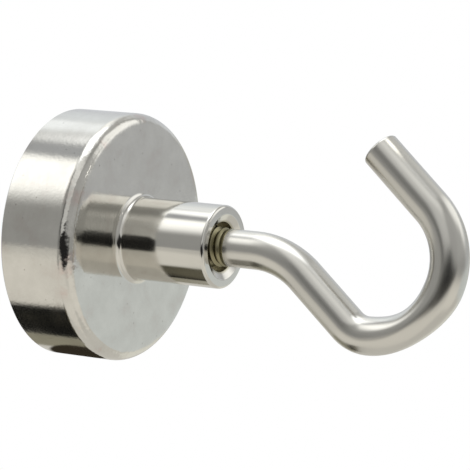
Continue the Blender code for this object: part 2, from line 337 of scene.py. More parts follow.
def turnedNickel():
    look = turnedLook
    material, tree, place = newMaterial("nickelPlatedTurnedSteel")
    radius, along, angle = axisParts(tree, place)

    # tool lines: noise over height and radius, nearly the same all the way round
    turnedPlace = addNode(tree, "ShaderNodeCombineXYZ", {
        0: ("MULTIPLY", along, 1 / (look["feed"] * mm)),
        1: ("MULTIPLY", radius, 1 / (look["feed"] * mm)), 2: angle})
    lines = addNode(tree, "ShaderNodeTexNoise", {"Vector": turnedPlace, "Scale": 1.0, "Detail": 3.0})
    ripple = addNode(tree, "ShaderNodeTexNoise", {
        "Vector": place, "Scale": 1 / (look["ripple"] * mm), "Detail": 2.0})

    # the bore takes little plate, so it is duller; it is also painted darker and browner, which is
    # painted shade in the recess
    bore = addNode(tree, "ShaderNodeMapRange", {
        "Value": radius, "From Min": look["boreSpan"][0] * mm, "From Max": look["boreSpan"][1] * mm})
    coloured = addNode(tree, "ShaderNodeMix", {
        "Factor": bore, 6: linear(nickel["colour"]), 7: linear(look["boreShadeColour"])}, data_type="RGBA")
    plain = addNode(tree, "ShaderNodeMapRange", {
        "Value": ripple, "From Min": noiseSpan[0], "From Max": noiseSpan[1],
        "To Min": look["roughness"][0], "To Max": look["roughness"][1]})
    roughness = addNode(tree, "ShaderNodeMix", {
        "Factor": bore, 2: plain, 3: look["boreRoughness"]}, data_type="FLOAT")
    finishLook(tree, {"Metallic": 1.0, "Base Color": coloured.outputs[2], "Roughness": roughness}, (
        (lines, look["feedHeight"]), (ripple, look["rippleHeight"])))
    return material


# Drawn wire: the die leaves long scratches, which the piece's own map runs along the wire.
# The thread is rolled into it, and it is painted darker and browner, which is painted shade as in the
# bush's bore.

drawnLook = {
    "roughness": (0.17, 0.27),
    "scratchWidth": 0.13, "scratchLength": 5.0, "scratchHeight": 0.0022,
    "wave": 2.6, "waveHeight": 0.004,
    # the thread's darker, browner colour is painted shade
    "threadShadeColour": "#9B9578", "threadRoughness": 0.36, "threadFade": 0.2,
}


def drawnNickel():
    look = drawnLook
    material, tree, place = newMaterial("nickelPlatedDrawnWire")
    onWire = addNode(tree, "ShaderNodeUVMap", uv_map="UVMap")
    scratchPlace = addNode(tree, "ShaderNodeVectorMath", {
        0: onWire, 1: (1 / look["scratchWidth"], 1 / look["scratchLength"], 0)}, operation="MULTIPLY")
    scratches = addNode(tree, "ShaderNodeTexNoise", {
        "Vector": scratchPlace, "Scale": 1.0, "Detail": 3.0})
    waves = addNode(tree, "ShaderNodeTexNoise", {
        "Vector": place, "Scale": 1 / (look["wave"] * mm), "Detail": 1.5, "Roughness": 0.4})

    # the map's second number counts along the wire and is negative in the thread
    inThread = addNode(tree, "ShaderNodeMapRange", {
        "Value": addNode(tree, "ShaderNodeSeparateXYZ", {0: onWire}).outputs[1],
        "From Min": 0.0, "From Max": -look["threadFade"]})
    # the thread is painted darker and browner: painted shade
    coloured = addNode(tree, "ShaderNodeMix", {
        "Factor": inThread, 6: linear(nickel["colour"]), 7: linear(look["threadShadeColour"]),
    }, data_type="RGBA")
    plain = addNode(tree, "ShaderNodeMapRange", {
        "Value": scratches, "From Min": noiseSpan[0], "From Max": noiseSpan[1],
        "To Min": look["roughness"][0], "To Max": look["roughness"][1]})
    roughness = addNode(tree, "ShaderNodeMix", {
        "Factor": inThread, 2: plain, 3: look["threadRoughness"]}, data_type="FLOAT")
    finishLook(tree, {"Metallic": 1.0, "Base Color": coloured.outputs[2], "Roughness": roughness}, (
        (scratches, look["scratchHeight"]), (waves, look["waveHeight"])))
    return material


# Magnet: a sintered disc, ground flat and nickel plated. Grinding leaves straight fine
# lines across the face, and the grains leave small pits.

groundLook = {
    "roughness": (0.16, 0.26),
    "grindWidth": 0.07, "grindLength": 14.0, "grindHeight": 0.0006,
    "pitSize": 0.45, "pitHeight": 0.002, "pitSpan": (0.05, 0.2),
    "filmSize": 3, "filmSpan": (0.5, 0.75), "filmShare": 0.5,
}


def groundNickel():
    look = groundLook
    material, tree, place = newMaterial("nickelPlatedGroundMagnet")
    across, along = 1 / (look["grindWidth"] * mm), 1 / (look["grindLength"] * mm)
    grindPlace = addNode(tree, "ShaderNodeVectorMath", {
        0: place, 1: (across, across, along)}, operation="MULTIPLY")
    lines = addNode(tree, "ShaderNodeTexNoise", {"Vector": grindPlace, "Scale": 1.0, "Detail": 3.0})
    grains = addNode(tree, "ShaderNodeTexVoronoi", {
        "Vector": place, "Scale": 1 / (look["pitSize"] * mm)})
    pits = addNode(tree, "ShaderNodeMapRange", {
        "Value": grains.outputs["Distance"],
        "From Min": look["pitSpan"][0], "From Max": look["pitSpan"][1]})
    clouds = addNode(tree, "ShaderNodeTexNoise", {
        "Vector": place, "Scale": 1 / (look["filmSize"] * mm), "Detail": 4.0})
    filmShare = addNode(tree, "ShaderNodeMapRange", {
        "Value": clouds, "From Min": look["filmSpan"][0], "From Max": look["filmSpan"][1],
        "To Max": look["filmShare"]})
    coloured = addNode(tree, "ShaderNodeMix", {
        "Factor": filmShare, 6: linear(nickel["colour"]), 7: linear(nickel["film"])}, data_type="RGBA")
    roughness = addNode(tree, "ShaderNodeMapRange", {
        "Value": clouds, "From Min": noiseSpan[0], "From Max": noiseSpan[1],
        "To Min": look["roughness"][0], "To Max": look["roughness"][1]})
    finishLook(tree, {"Metallic": 1.0, "Base Color": coloured.outputs[2], "Roughness": roughness}, (
        (lines, look["grindHeight"]), (pits, look["pitHeight"])))
    return material


# Potting resin: black filled epoxy, poured round the magnet. It sets with a soft shine,
# small bubbles and dust.

pottedLook = {
    "colour": "#1C1B1A", "dust": "#4A4744", "roughness": (0.28, 0.5),
    "dustSize": 0.8, "dustSpan": (0.5, 0.8), "dustShare": 0.6,
    "bubbleSize": 0.5, "bubbleSpan": (0.1, 0.3), "bubbleDepth": 0.02,
}


def pottedResin():
    look = pottedLook
    material, tree, place = newMaterial("blackPottingEpoxy")
    clouds = addNode(tree, "ShaderNodeTexNoise", {
        "Vector": place, "Scale": 1 / (look["dustSize"] * mm), "Detail": 5.0})
    dust = addNode(tree, "ShaderNodeMapRange", {
        "Value": clouds, "From Min": look["dustSpan"][0], "From Max": look["dustSpan"][1],
        "To Max": look["dustShare"]})
    coloured = addNode(tree, "ShaderNodeMix", {
        "Factor": dust, 6: linear(look["colour"]), 7: linear(look["dust"])}, data_type="RGBA")
    roughness = addNode(tree, "ShaderNodeMapRange", {
        "Value": clouds, "From Min": noiseSpan[0], "From Max": noiseSpan[1],
        "To Min": look["roughness"][0], "To Max": look["roughness"][1]})
    bubbles = addNode(tree, "ShaderNodeTexVoronoi", {
        "Vector": place, "Scale": 1 / (look["bubbleSize"] * mm)})
    hollows = addNode(tree, "ShaderNodeMapRange", {
        "Value": bubbles.outputs["Distance"],
        "From Min": look["bubbleSpan"][0], "From Max": look["bubbleSpan"][1]})
    finishLook(tree, {"IOR": 1.55, "Base Color": coloured.outputs[2], "Roughness": roughness}, (
        (hollows, look["bubbleDepth"]),))
    return material


cupMetal = pressedNickel()
bushMetal = turnedNickel()
wireMetal = drawnNickel()
magnetMetal = groundNickel()
resinBlack = pottedResin()
print("materials made")


# Cup: a thick pressed shell with a rounded edge at its back, open at the contact face

cup = {
    "wall": 1.8, "back": 2.3, "rimChamfer": 0.2, "bushHole": 2.85, "sides": 256,
    "edge": 1.42, "edgeEnd": 76.5, "rollWidth": 1.3, "rollSteps": 12, "boreRounding": 0.1,
}
boreRadius = cupRadius - cup["wall"]
boreFloor = cupHeight - cup["back"]


def makeCup():
    # the face starts to roll off well inside the rounded edge, as pressed steel does
    shape = bmesh.new()
    end, steps, rounding = math.radians(cup["edgeEnd"]), cup["rollSteps"], cup["boreRounding"]
    drop = cup["rollWidth"] / math.tan(end) / 2
    rollStart = cupRadius - cup["edge"] + cup["edge"] * math.cos(end)
    edgeCentre = (cupRadius - cup["edge"], cupHeight - drop - cup["edge"] * math.sin(end))
    rollOff = [(rollStart - cup["rollWidth"] * step / steps,
                cupHeight - drop * (1 - step / steps) ** 2) for step in range(1, steps + 1)]
    outline = [
        (boreRadius, rounding),
        *arc((boreRadius + rounding, rounding), rounding, 180, 270, 4),
        (cupRadius - cup["rimChamfer"], 0),
        (cupRadius, cup["rimChamfer"]),
        *arc(edgeCentre, cup["edge"], 0, cup["edgeEnd"], 24),
        *rollOff,
        (cup["bushHole"], cupHeight),
        (cup["bushHole"], boreFloor),
        (boreRadius, boreFloor),
    ]
    spin(shape, eased(outline, closed=True), cup["sides"], closed=True)
    finished("cupShell", shape, cupMetal, "magnet_base", "cup")


makeCup()


# Magnet disc and the resin that holds it in the cup

magnet = {
    "edge": 0.2, "sides": 192,
    "resinWidth": 0.6, "resinBed": 0.3, "resinSink": 0.15, "resinSag": 0.14, "resinGap": 0.05,
}
magnetRadius = boreRadius - magnet["resinWidth"]
magnetHeight = boreFloor - magnet["resinBed"]


def makeMagnet():
    shape = bmesh.new()
    edge = magnet["edge"]
    outline = [
        (0, 0),
        *arc((magnetRadius - edge, edge), edge, -90, 0, 8),
        *arc((magnetRadius - edge, magnetHeight - edge), edge, 0, 90, 8),
        (0, magnetHeight),
    ]
    spin(shape, eased(outline), magnet["sides"])
    finished("magnetDisc", shape, magnetMetal, "magnet_base", "magnet_disc")


def makeResin():
    # the resin wets both walls, so its surface sags between them
    shape = bmesh.new()
    gap, sink = magnet["resinGap"], magnet["resinSink"]
    inner, outer = magnetRadius + gap, boreRadius - gap
    middle, half = (inner + outer) / 2, (outer - inner) / 2
    turns = [math.pi * step / 8 for step in range(9)]
    sag = [(middle - half * math.cos(turn), sink + magnet["resinSag"] * math.sin(turn))
           for turn in turns]
    outline = [(0, magnetHeight + gap), (inner, magnetHeight + gap), *sag,
               (outer, boreFloor - gap), (0, boreFloor - gap)]
    spin(shape, eased(outline), magnet["sides"])
    finished("resinBed", shape, resinBlack, "magnet_base", "resin_bed")


makeMagnet()
makeResin()


# What the two shape trees share: the flat grid that each one wraps round, and its end

def flatGrid(tree, columns, rows):
    # a flat grid, and how far across and how far up it a point lies, from 0 to 1
    grid = addNode(tree, "GeometryNodeMeshGrid", {
        "Size X": 1.0, "Size Y": 1.0,
        "Vertices X": ("ADD", columns, 1.0), "Vertices Y": ("ADD", rows, 1.0)})
    spot = addNode(tree, "ShaderNodeSeparateXYZ", {0: addNode(tree, "GeometryNodeInputPosition")})
    around, up = (addNode(tree, "ShaderNodeMath", {0: spot.outputs[axis], 1: 0.5}) for axis in (0, 1))
    return grid, around, up


def wrapped(tree, grid, position, around, radius, along):
    # moves the grid's points, and gives them a map in millimetres, round the piece and along it
    placed = addNode(tree, "GeometryNodeSetPosition", {"Geometry": grid, "Position": position})
    onPiece = addNode(tree, "ShaderNodeCombineXYZ", {
        0: ("MULTIPLY", around, 2 * math.pi * radius), 1: along})
    return addNode(tree, "GeometryNodeStoreNamedAttribute", {
        "Geometry": placed, "Name": "UVMap", "Value": onPiece}, data_type="FLOAT2", domain="CORNER")


def endShapeTree(tree, given, skin):
    # closes the seam, then makes it one plain mesh with its material
    merged = addNode(tree, "GeometryNodeMergeByDistance", {
        "Geometry": skin, "Distance": meshing["seamWeld"] * mm})
    realized = addNode(tree, "GeometryNodeRealizeInstances", {"Geometry": merged})
    clad = addNode(tree, "GeometryNodeSetMaterial", {
        "Geometry": realized, "Material": given["Material"]})
    addNode(tree, "NodeGroupOutput", {"Mesh": clad})


# Screw thread: one tree makes the wall of the bush's bore and the shank of the hook.
# Its rows climb the wall at one lead, so that they follow the thread's own corners.

def screwThreadTree():
    tree, given = newGroup("screwThread", "GeometryNodeTree", {
        "Int": ("Columns", "Rows per Pitch", "Pitches"),
        "Float": ("Pitch", "Start", "Low", "High", "Low Radius", "High Radius", "Root", "Crest",
                  "Low Crest", "Low Run", "High Root", "High Run", "Root Share", "Flank Share"),
        "Material": ("Material",),
    }, ("Mesh", "Geometry"))

    # one step across the grid is a column of the screw, one step up is a row
    rows = ("MULTIPLY", given["Rows per Pitch"], given["Pitches"])
    grid, around, up = flatGrid(tree, given["Columns"], rows)
    turns = addNode(tree, "ShaderNodeMath", {0: up, 1: given["Pitches"]}, operation="MULTIPLY")

    # height of the point: its share of a turn plus its whole turns, in pitches
    height = addNode(tree, "ShaderNodeMath", {
        0: ("ADD", around, turns), 1: given["Pitch"], 2: given["Start"]}, operation="MULTIPLY_ADD")

    # share of the thread's depth: root, flank, crest, flank along each pitch
    phase = addNode(tree, "ShaderNodeMath", {
        0: ("ADD", turns, thread["rowNudge"])}, operation="FRACT")
    nearer = ("MINIMUM", ("SUBTRACT", phase, given["Root Share"]), ("SUBTRACT", 1.0, phase))
    share = addNode(tree, "ShaderNodeMath", {
        0: nearer, 1: given["Flank Share"]}, operation="DIVIDE", use_clamp=True)

    # root and crest change over the run at either end
    highLeft = addNode(tree, "ShaderNodeMath", {
        0: given["High"], 1: height}, operation="SUBTRACT")
    highShare, lowShare = (
        addNode(tree, "ShaderNodeMath", {0: left, 1: run}, operation="DIVIDE", use_clamp=True)
        for left, run in ((highLeft, given["High Run"]),
                          (("SUBTRACT", height, given["Low"]), given["Low Run"])))
    root = addNode(tree, "ShaderNodeMix", {
        "Factor": highShare, 2: given["High Root"], 3: given["Root"]}, data_type="FLOAT")
    crest = addNode(tree, "ShaderNodeMix", {
        "Factor": lowShare, 2: given["Low Crest"], 3: given["Crest"]}, data_type="FLOAT")
    crest = addNode(tree, "ShaderNodeMix", {
        "Factor": highShare, 2: given["High Root"], 3: crest}, data_type="FLOAT")
    radius = addNode(tree, "ShaderNodeMix", {"Factor": share, 2: root, 3: crest}, data_type="FLOAT")

    # what would pass an end is drawn together into that end's ring
    for end, operation in (("Low", "LESS_EQUAL"), ("High", "GREATER_EQUAL")):
        passed = addNode(tree, "FunctionNodeCompare", {0: height, 1: given[end]}, operation=operation)
        radius = addNode(tree, "GeometryNodeSwitch", {
            0: passed, 1: radius, 2: given[end + " Radius"]}, input_type="FLOAT")
    height = addNode(tree, "ShaderNodeClamp", {0: height, 1: given["Low"], 2: given["High"]})

    # the map counts along the screw as minus the way to its high end
    angle = addNode(tree, "ShaderNodeMath", {0: around, 1: 2 * math.pi}, operation="MULTIPLY")
    position = addNode(tree, "ShaderNodeCombineXYZ", {
        0: ("MULTIPLY", ("COSINE", angle), radius), 1: ("MULTIPLY", height, -1.0),
        2: ("MULTIPLY", ("SINE", angle), radius)})
    endShapeTree(tree, given, wrapped(
        tree, grid, position, around, thread["radius"], ("MULTIPLY", highLeft, -1 / mm)))
    return tree


screwThread = screwThreadTree()


def threadValues(low, high, **values):
    # whole pitches counted from the bush's face, so that every thread is in step
    first = math.floor((low - bushFace) / thread["pitch"]) - 1
    last = math.ceil((high - bushFace) / thread["pitch"]) + 1
    lengths = {
        "Pitch": thread["pitch"], "Start": bushFace + first * thread["pitch"],
        "Low": low, "High": high, **values,
    }
    return {
        "Columns": thread["columns"], "Rows per Pitch": thread["rowsPerPitch"], "Pitches": last - first,
        "Root Share": thread["rootShare"], "Flank Share": thread["flankShare"],
        **{name: value * mm for name, value in lengths.items()},
    }


# Bush: a turned boss with a rolled-off foot, a chamfered mouth, a short counterbore and
# the tapped bore, riveted through the back of the cup

bush = {
    "radius": 4.15, "footRadius": 0.65, "edgeRadius": 0.35, "seatGap": 0.05,
    "mouthRadius": 3.25, "mouthChamfer": 0.4, "mouthEdge": 0.08,
    "counterbore": 2.5, "counterboreDepth": 1.4,
    "threadEnd": 9.0, "drillDepth": 9.7, "drillPoint": 1.03,
    "threadRunIn": 0.7, "threadRunOut": 0.5,
    "spigot": 2.8, "rivet": 3.6, "rivetDepth": 1.0, "footSink": 0.005,
}
bushFoot = cupHeight - bush["footSink"]     # the foot fades into the face of the cup


def makeBush():
    drill = threadRoot + thread["clearance"]
    crest = thread["radius"] + thread["clearance"]
    low, high = bushFace - bush["threadEnd"], bushFace - bush["counterboreDepth"]
    bore = meshFromTree("boreThread", screwThread, {"Material": bushMetal, **threadValues(low, high, **{
        "Low Radius": drill, "High Radius": crest, "Root": drill, "Crest": crest,
        "Low Crest": drill, "Low Run": bush["threadRunIn"],
        "High Root": crest, "High Run": bush["threadRunOut"]})})
    shape = bmesh.new()
    shape.from_mesh(bore)
    edge, foot = bush["edgeRadius"], bush["footRadius"]
    mouth, lip = bush["mouthRadius"], bush["mouthEdge"]
    spin(shape, eased([
        (crest, high),
        (bush["counterbore"], high),
        (bush["counterbore"], bushFace - bush["mouthChamfer"]),
        *arc((mouth + lip * 0.4, bushFace - lip), lip, 150, 90, 5),
        *arc((bush["radius"] - edge, bushFace - edge), edge, 90, 0, 12),
        *arc((bush["radius"] + foot, bushFoot + foot), foot, 180, 270, 14),
        (bush["spigot"], bushFoot),
        (bush["spigot"], boreFloor + bush["rivetDepth"] + bush["seatGap"]),
        (bush["rivet"], boreFloor + bush["seatGap"]),
        (0, boreFloor + bush["seatGap"]),
    ]), thread["columns"])
    spin(shape, [
        (drill, low), (drill, bushFace - bush["drillDepth"]),
        (0, bushFace - bush["drillDepth"] - bush["drillPoint"]),
    ], thread["columns"])
    finished("bushBody", shape, bushMetal, "magnet_base", "threaded_bush")


makeBush()


# Hook: one wire, threaded at one end and bent in a plane. The tree walks along the wire,
# turns it by its bends and squeezes it where the former pressed it.

wire = {
    "radius": 1.875, "threadProud": 0.8, "shankInsertion": 7.4, "pointRadius": 1.5,
    "neckLength": 3.65, "neckBendRadius": 8.75, "neckBendAngle": 39.75,
    "legLength": 6.5, "heelRadius": 3.5, "heelAngle": 41.2,
    "bowlRadius": 8.4, "bowlAngle": 55.0,
    "crownRadius": 6.9, "crownAngle": 82.7,
    "tipLength": 7.8, "tipRounding": 0.25, "capInset": 0.06, "threadRun": 1.5,
    "squeeze": 0.13, "spread": 0.06,          # shares of the radius
    "squeezeHeading": 36.9, "squeezeReach": 34.5,
    "columns": 96, "rows": 520, "tipRows": 10, "walkSteps": 1600,
}
threadEnd = bushFace + wire["threadProud"]
shankEnd = bushFace - wire["shankInsertion"]


def bentWireTree():
    tree, given = newGroup("bentWire", "GeometryNodeTree", {
        "Float": ("Wire Radius", "Start", "Neck Length", "Neck Bend Radius", "Neck Bend Angle",
                  "Leg Length", "Heel Radius", "Heel Angle", "Bowl Radius", "Bowl Angle",
                  "Crown Radius", "Crown Angle", "Tip Length", "Tip Rounding",
                  "Squeeze", "Spread", "Squeeze Heading", "Squeeze Reach"),
        "Int": ("Columns", "Rows", "Tip Rows"), "Material": ("Material",),
    }, ("Mesh", "Geometry"))

    # where each bend starts and ends along the wire; the neck bends down, the rest up
    bends = []
    reached = given["Neck Length"]
    for name, straight, sign in (
        ("Neck Bend", None, -1.0), ("Heel", "Leg Length", 1.0), ("Bowl", None, 1.0), ("Crown", None, 1.0),
    ):
        if straight:
            reached = addNode(tree, "ShaderNodeMath", {0: reached, 1: given[straight]})
        angle = given[name + " Angle"]
        bendEnd = addNode(tree, "ShaderNodeMath", {
            0: given[name + " Radius"], 1: angle, 2: reached}, operation="MULTIPLY_ADD")
        bends.append((reached, bendEnd, ("MULTIPLY", angle, sign)))
        reached = bendEnd
    total = addNode(tree, "ShaderNodeMath", {0: reached, 1: given["Tip Length"]})

    # the centre line, walked in short steps, each along the heading at its middle
    walk = addNode(tree, "GeometryNodeMeshLine", {"Count": wire["walkSteps"] + 1})
    stride = addNode(tree, "ShaderNodeMath", {
        0: total, 1: float(wire["walkSteps"])}, operation="DIVIDE")
    middle = addNode(tree, "ShaderNodeMath", {
        0: ("ADD", addNode(tree, "GeometryNodeInputIndex"), 0.5), 1: stride}, operation="MULTIPLY")
    heading = None
    for bendStart, bendEnd, angle in bends:
        turned = addNode(tree, "ShaderNodeMapRange", {
            "Value": middle, "From Min": bendStart, "From Max": bendEnd, "To Max": angle})
        heading = addNode(tree, "ShaderNodeMath", {0: heading, 1: turned}) if heading else turned
    step = addNode(tree, "ShaderNodeCombineXYZ", {
        1: ("MULTIPLY", ("MULTIPLY", ("COSINE", heading), stride), -1.0),
        2: ("MULTIPLY", ("SINE", heading), stride)})
    walked = addNode(tree, "GeometryNodeAccumulateField", {0: step}, data_type="FLOAT_VECTOR")
    start = addNode(tree, "ShaderNodeCombineXYZ", {1: ("MULTIPLY", given["Start"], -1.0)})
    path = addNode(tree, "GeometryNodeSetPosition", {"Geometry": walk, "Position": addNode(
        tree, "ShaderNodeVectorMath", {0: walked.outputs["Trailing"], 1: start})})
    centreLine = addNode(tree, "GeometryNodeMeshToCurve", {"Mesh": path})

    # the skin: a flat grid wrapped round the centre line, its last rows rounding the tip
    grid, around, up = flatGrid(tree, given["Columns"], given["Rows"])
    row = addNode(tree, "ShaderNodeMath", {0: up, 1: given["Rows"]}, operation="MULTIPLY")
    bodyRows = addNode(tree, "ShaderNodeMath", {
        0: given["Rows"], 1: given["Tip Rows"]}, operation="SUBTRACT")
    bodyShare = addNode(tree, "ShaderNodeMath", {
        0: row, 1: bodyRows}, operation="DIVIDE", use_clamp=True)
    tipShare = addNode(tree, "ShaderNodeMath", {
        0: ("SUBTRACT", row, bodyRows), 1: given["Tip Rows"]}, operation="DIVIDE", use_clamp=True)
    tipAngle = addNode(tree, "ShaderNodeMath", {0: tipShare, 1: math.pi / 2}, operation="MULTIPLY")
    rounding = given["Tip Rounding"]
    length = addNode(tree, "ShaderNodeMath", {
        0: bodyShare, 1: ("SUBTRACT", total, rounding),
        2: ("MULTIPLY", ("SINE", tipAngle), rounding)}, operation="MULTIPLY_ADD")
    tipLoss = ("MULTIPLY", ("SUBTRACT", 1.0, ("COSINE", tipAngle)), rounding)
    radius = addNode(tree, "ShaderNodeMath", {
        0: given["Wire Radius"], 1: tipLoss}, operation="SUBTRACT")

    # the former flattened the wire most where it heads one way
    sample = addNode(tree, "GeometryNodeSampleCurve", {
        "Curves": centreLine, "Length": length}, mode="LENGTH")
    tangent = addNode(tree, "ShaderNodeSeparateXYZ", {0: sample.outputs["Tangent"]}).outputs
    headingHere = ("ARCTAN2", tangent[2], ("MULTIPLY", tangent[1], -1.0))
    away = ("ABSOLUTE", ("SUBTRACT", headingHere, given["Squeeze Heading"]))
    reach = addNode(tree, "ShaderNodeMath", {
        0: away, 1: given["Squeeze Reach"]}, operation="DIVIDE", use_clamp=True)
    pressed = addNode(tree, "ShaderNodeMath", {
        0: ("COSINE", ("MULTIPLY", reach, math.pi / 2)), 1: 2.0}, operation="POWER")
    thinner = ("SUBTRACT", 1.0, ("MULTIPLY", pressed, given["Squeeze"]))
    wider = ("MULTIPLY_ADD", pressed, given["Spread"], 1.0)

    turn = addNode(tree, "ShaderNodeMath", {0: around, 1: 2 * math.pi}, operation="MULTIPLY")
    normal = addNode(tree, "ShaderNodeVectorMath", {
        0: sample.outputs["Tangent"], 1: (1.0, 0.0, 0.0)}, operation="CROSS_PRODUCT")
    inPlane = addNode(tree, "ShaderNodeVectorMath", {
        0: normal, "Scale": ("MULTIPLY", ("MULTIPLY", radius, thinner), ("SINE", turn)),
    }, operation="SCALE")
    acrossPlane = addNode(tree, "ShaderNodeCombineXYZ", {
        0: ("MULTIPLY", ("MULTIPLY", radius, wider), ("COSINE", turn))})
    offset = addNode(tree, "ShaderNodeVectorMath", {0: inPlane, 1: acrossPlane})
    position = addNode(tree, "ShaderNodeVectorMath", {0: sample.outputs["Position"], 1: offset})
    skin = wrapped(tree, grid, position, around, wire["radius"], ("MULTIPLY", length, 1 / mm))

    # the threaded shank joins at the wire's first ring
    shank = addNode(tree, "GeometryNodeGroup", threadValues(shankEnd, threadEnd, **{
        "Low Radius": wire["pointRadius"], "High Radius": wire["radius"],
        "Root": threadRoot, "Crest": thread["radius"],
        "Low Crest": wire["pointRadius"], "Low Run": thread["radius"] - wire["pointRadius"],
        "High Root": wire["radius"], "High Run": wire["threadRun"],
    }), node_tree=screwThread)
    joined = addNode(tree, "GeometryNodeJoinGeometry")
    for part in (skin, shank):
        tree.links.new(part.outputs[0], joined.inputs[0])
    endShapeTree(tree, given, joined)
    return tree


def makeHook():
    lengths = {
        "Wire Radius": wire["radius"], "Start": threadEnd,
        "Neck Length": wire["neckLength"] - wire["threadProud"],
        "Leg Length": wire["legLength"], "Tip Length": wire["tipLength"],
        "Tip Rounding": wire["tipRounding"],
    }
    angles = {"Squeeze Heading": wire["squeezeHeading"], "Squeeze Reach": wire["squeezeReach"]}
    for bend, key in (("Neck Bend", "neckBend"), ("Heel", "heel"), ("Bowl", "bowl"), ("Crown", "crown")):
        lengths[bend + " Radius"] = wire[key + "Radius"]
        angles[bend + " Angle"] = wire[key + "Angle"]
    shape = bmesh.new()
    shape.from_mesh(meshFromTree("hookSkin", bentWireTree(), {
        **{name: value * mm for name, value in lengths.items()},
        **{name: math.radians(value) for name, value in angles.items()},
        "Squeeze": wire["squeeze"], "Spread": wire["spread"],
        "Columns": wire["columns"], "Rows": wire["rows"], "Tip Rows": wire["tipRows"],
        "Material": wireMetal,
    }))
    openEdges = [edge for edge in shape.edges if edge.is_boundary]
    caps = bmesh.ops.holes_fill(shape, edges=openEdges, sides=0)["faces"]
    bmesh.ops.inset_individual(shape, faces=caps, thickness=wire["capInset"] * mm)
    finished("wireHook", shape, wireMetal, "hook", "wire_hook")


makeHook()


# The plain point of the shank, which leads the thread into the bush

point = {"gap": 0.05, "length": 0.7, "chamfer": 0.25, "edge": 0.03, "sides": 96}


def makePoint():
    shape = bmesh.new()
    radius, edge, chamfer = wire["pointRadius"], point["edge"], point["chamfer"]
    top, low = shankEnd - point["gap"], shankEnd - point["length"]
    spin(shape, eased([
        (0, top), (radius - edge, top), (radius, top - edge), (radius, low + chamfer),
        (radius - chamfer, low), (0, low),
    ]), point["sides"])
    finished("shankPoint", shape, wireMetal, "screw_travel", "shank_point")


makePoint()


# Studio: the hook hangs over a pale floor inside a light tent. The tent is lit in soft
# patches, some bright and some dark, as soft boxes, pale walls, black flags and the mats
# on the table are. A patch is given as it is seen from the magnet: azimuth from +Y
# towards +X, elevation, half width, half height and roll, how soft its two pairs of
# edges are, all in degrees, then its brightness and its colour. Later ones cover earlier.
# The sizes of tent and floor are in metres.

studio = {
    "tentRadius": 0.65, "backdrop": "#FFFFFF",
    "patchReach": 0.05,      # cosine of the widest angle from its middle that a patch lights
    "roomBrightness": 0.375, "roomColour": "#FFFFFC",
    "floorBrightness": 0.69, "floorColour": "#FFFCF4", "floorEdge": (-14.5, -10.0),
    "floorRadius": 0.55, "floorDrop": 0.12,
    "boardColours": ("#EAE7E0", "#E2DFD7"), "mottlesPerMetre": 60.0, "boardRoughness": 0.7,
}
patches = {
    "overhead": (4, 84, 23, 22, -35, 23, 19, 2.35, "#FBFDFF"),
    "keyBox": (-36, 40, 15, 16, -11, 22, 20, 1.76, "#FFFFFD"),
    "boxGap": (-15, 56, 9, 4, -16, 10, 4, 0.50, "#F8FBFF"),
    "rightBox": (141, 34, 21, 21, 27, 8, 20, 1.36, "#FFFFFD"),
    "backBox": (58, 44, 22, 19, 64, 27, 23, 1.46, "#FFFFFD"),
    "leftWall": (-106, 24, 20, 26, 8, 4, 12, 0.67, "#FFFFFD"),
    "leftSlot": (-76, 0, 3, 31, 18, 25, 25, 0.13, "#FFFFFD"),
    "slotCore": (-79, 12, 3, 15, 28, 5, 10, 0.12, "#FFFFFD"),
    "blackFlag": (-120, -10, 39, 17, -14, 20, 7, 0.02, "#FFFFFD"),
    "darkStrap": (1, -60, 20, 4, 0, 7, 4, 0.14, "#FFF6D4"),
    "blackMat": (3.5, -55.2, 17.5, 3.4, 0, 4, 3, 0.006, "#F7FBFF"),
    "oliveMat": (40, -43, 5, 10, -41, 3, 5, 0.31, "#FFF8DC"),
    "rightWall": (121, 7, 25, 16, -20, 27, 22, 0.57, "#FBFDFF"),
    "backWall": (54, 28, 43, 21, -9, 27, 27, 0.96, "#F6FBFF"),
    "nearDark": (188, 25, 32, 23, -8, 27, 19, 0.49, "#FFFFFD"),
    "rightTable": (114, -12, 45, 11, -12, 27, 1, 0.74, "#FAFFFE"),
    "leftTable": (-42, -36, 19, 11, -29, 8, 2, 0.83, "#FFFBF2"),
    "khakiMat": (15, -42, 16, 9, 16, 7, 4, 0.32, "#FFFBE2"),
    "topLeftBox": (-111, 55, 22, 12, 18, 1, 24, 0.98, "#FFFFFD"),
    "nearLeft": (-146, 17, 17, 18, 17, 1, 22, 0.45, "#FFFFFD"),
    "rightGlow": (152, 44, 12, 11, -10, 27, 10, 1.28, "#FFFFFD"),
    "backGlow": (29, 45, 7, 8, 26, 3, 9, 1.30, "#F8FCFF"),
    "topRoom": (105, 64, 32, 10, 30, 24, 21, 0.57, "#FFFFFD"),
    "nearTable": (-104, -57, 38, 26, 31, 24, 20, 0.82, "#FFFBF2"),
    "farTable": (123, -49, 42, 22, -11, 17, 1, 0.67, "#FFFCF4"),
    "backCorner": (67, 19, 34, 14, 34, 26, 26, 0.71, "#F7FAFF"),
    "backDark": (85, 3, 15, 9, 0, 12, 8, 0.53, "#FFFFF6"),
    "farGlow": (97, -28, 16, 10, 0, 10, 10, 0.86, "#FFFEF4"),
    "cameraTable": (-176, -33, 24, 14, 0, 10, 10, 0.86, "#FFFBF2"),
}


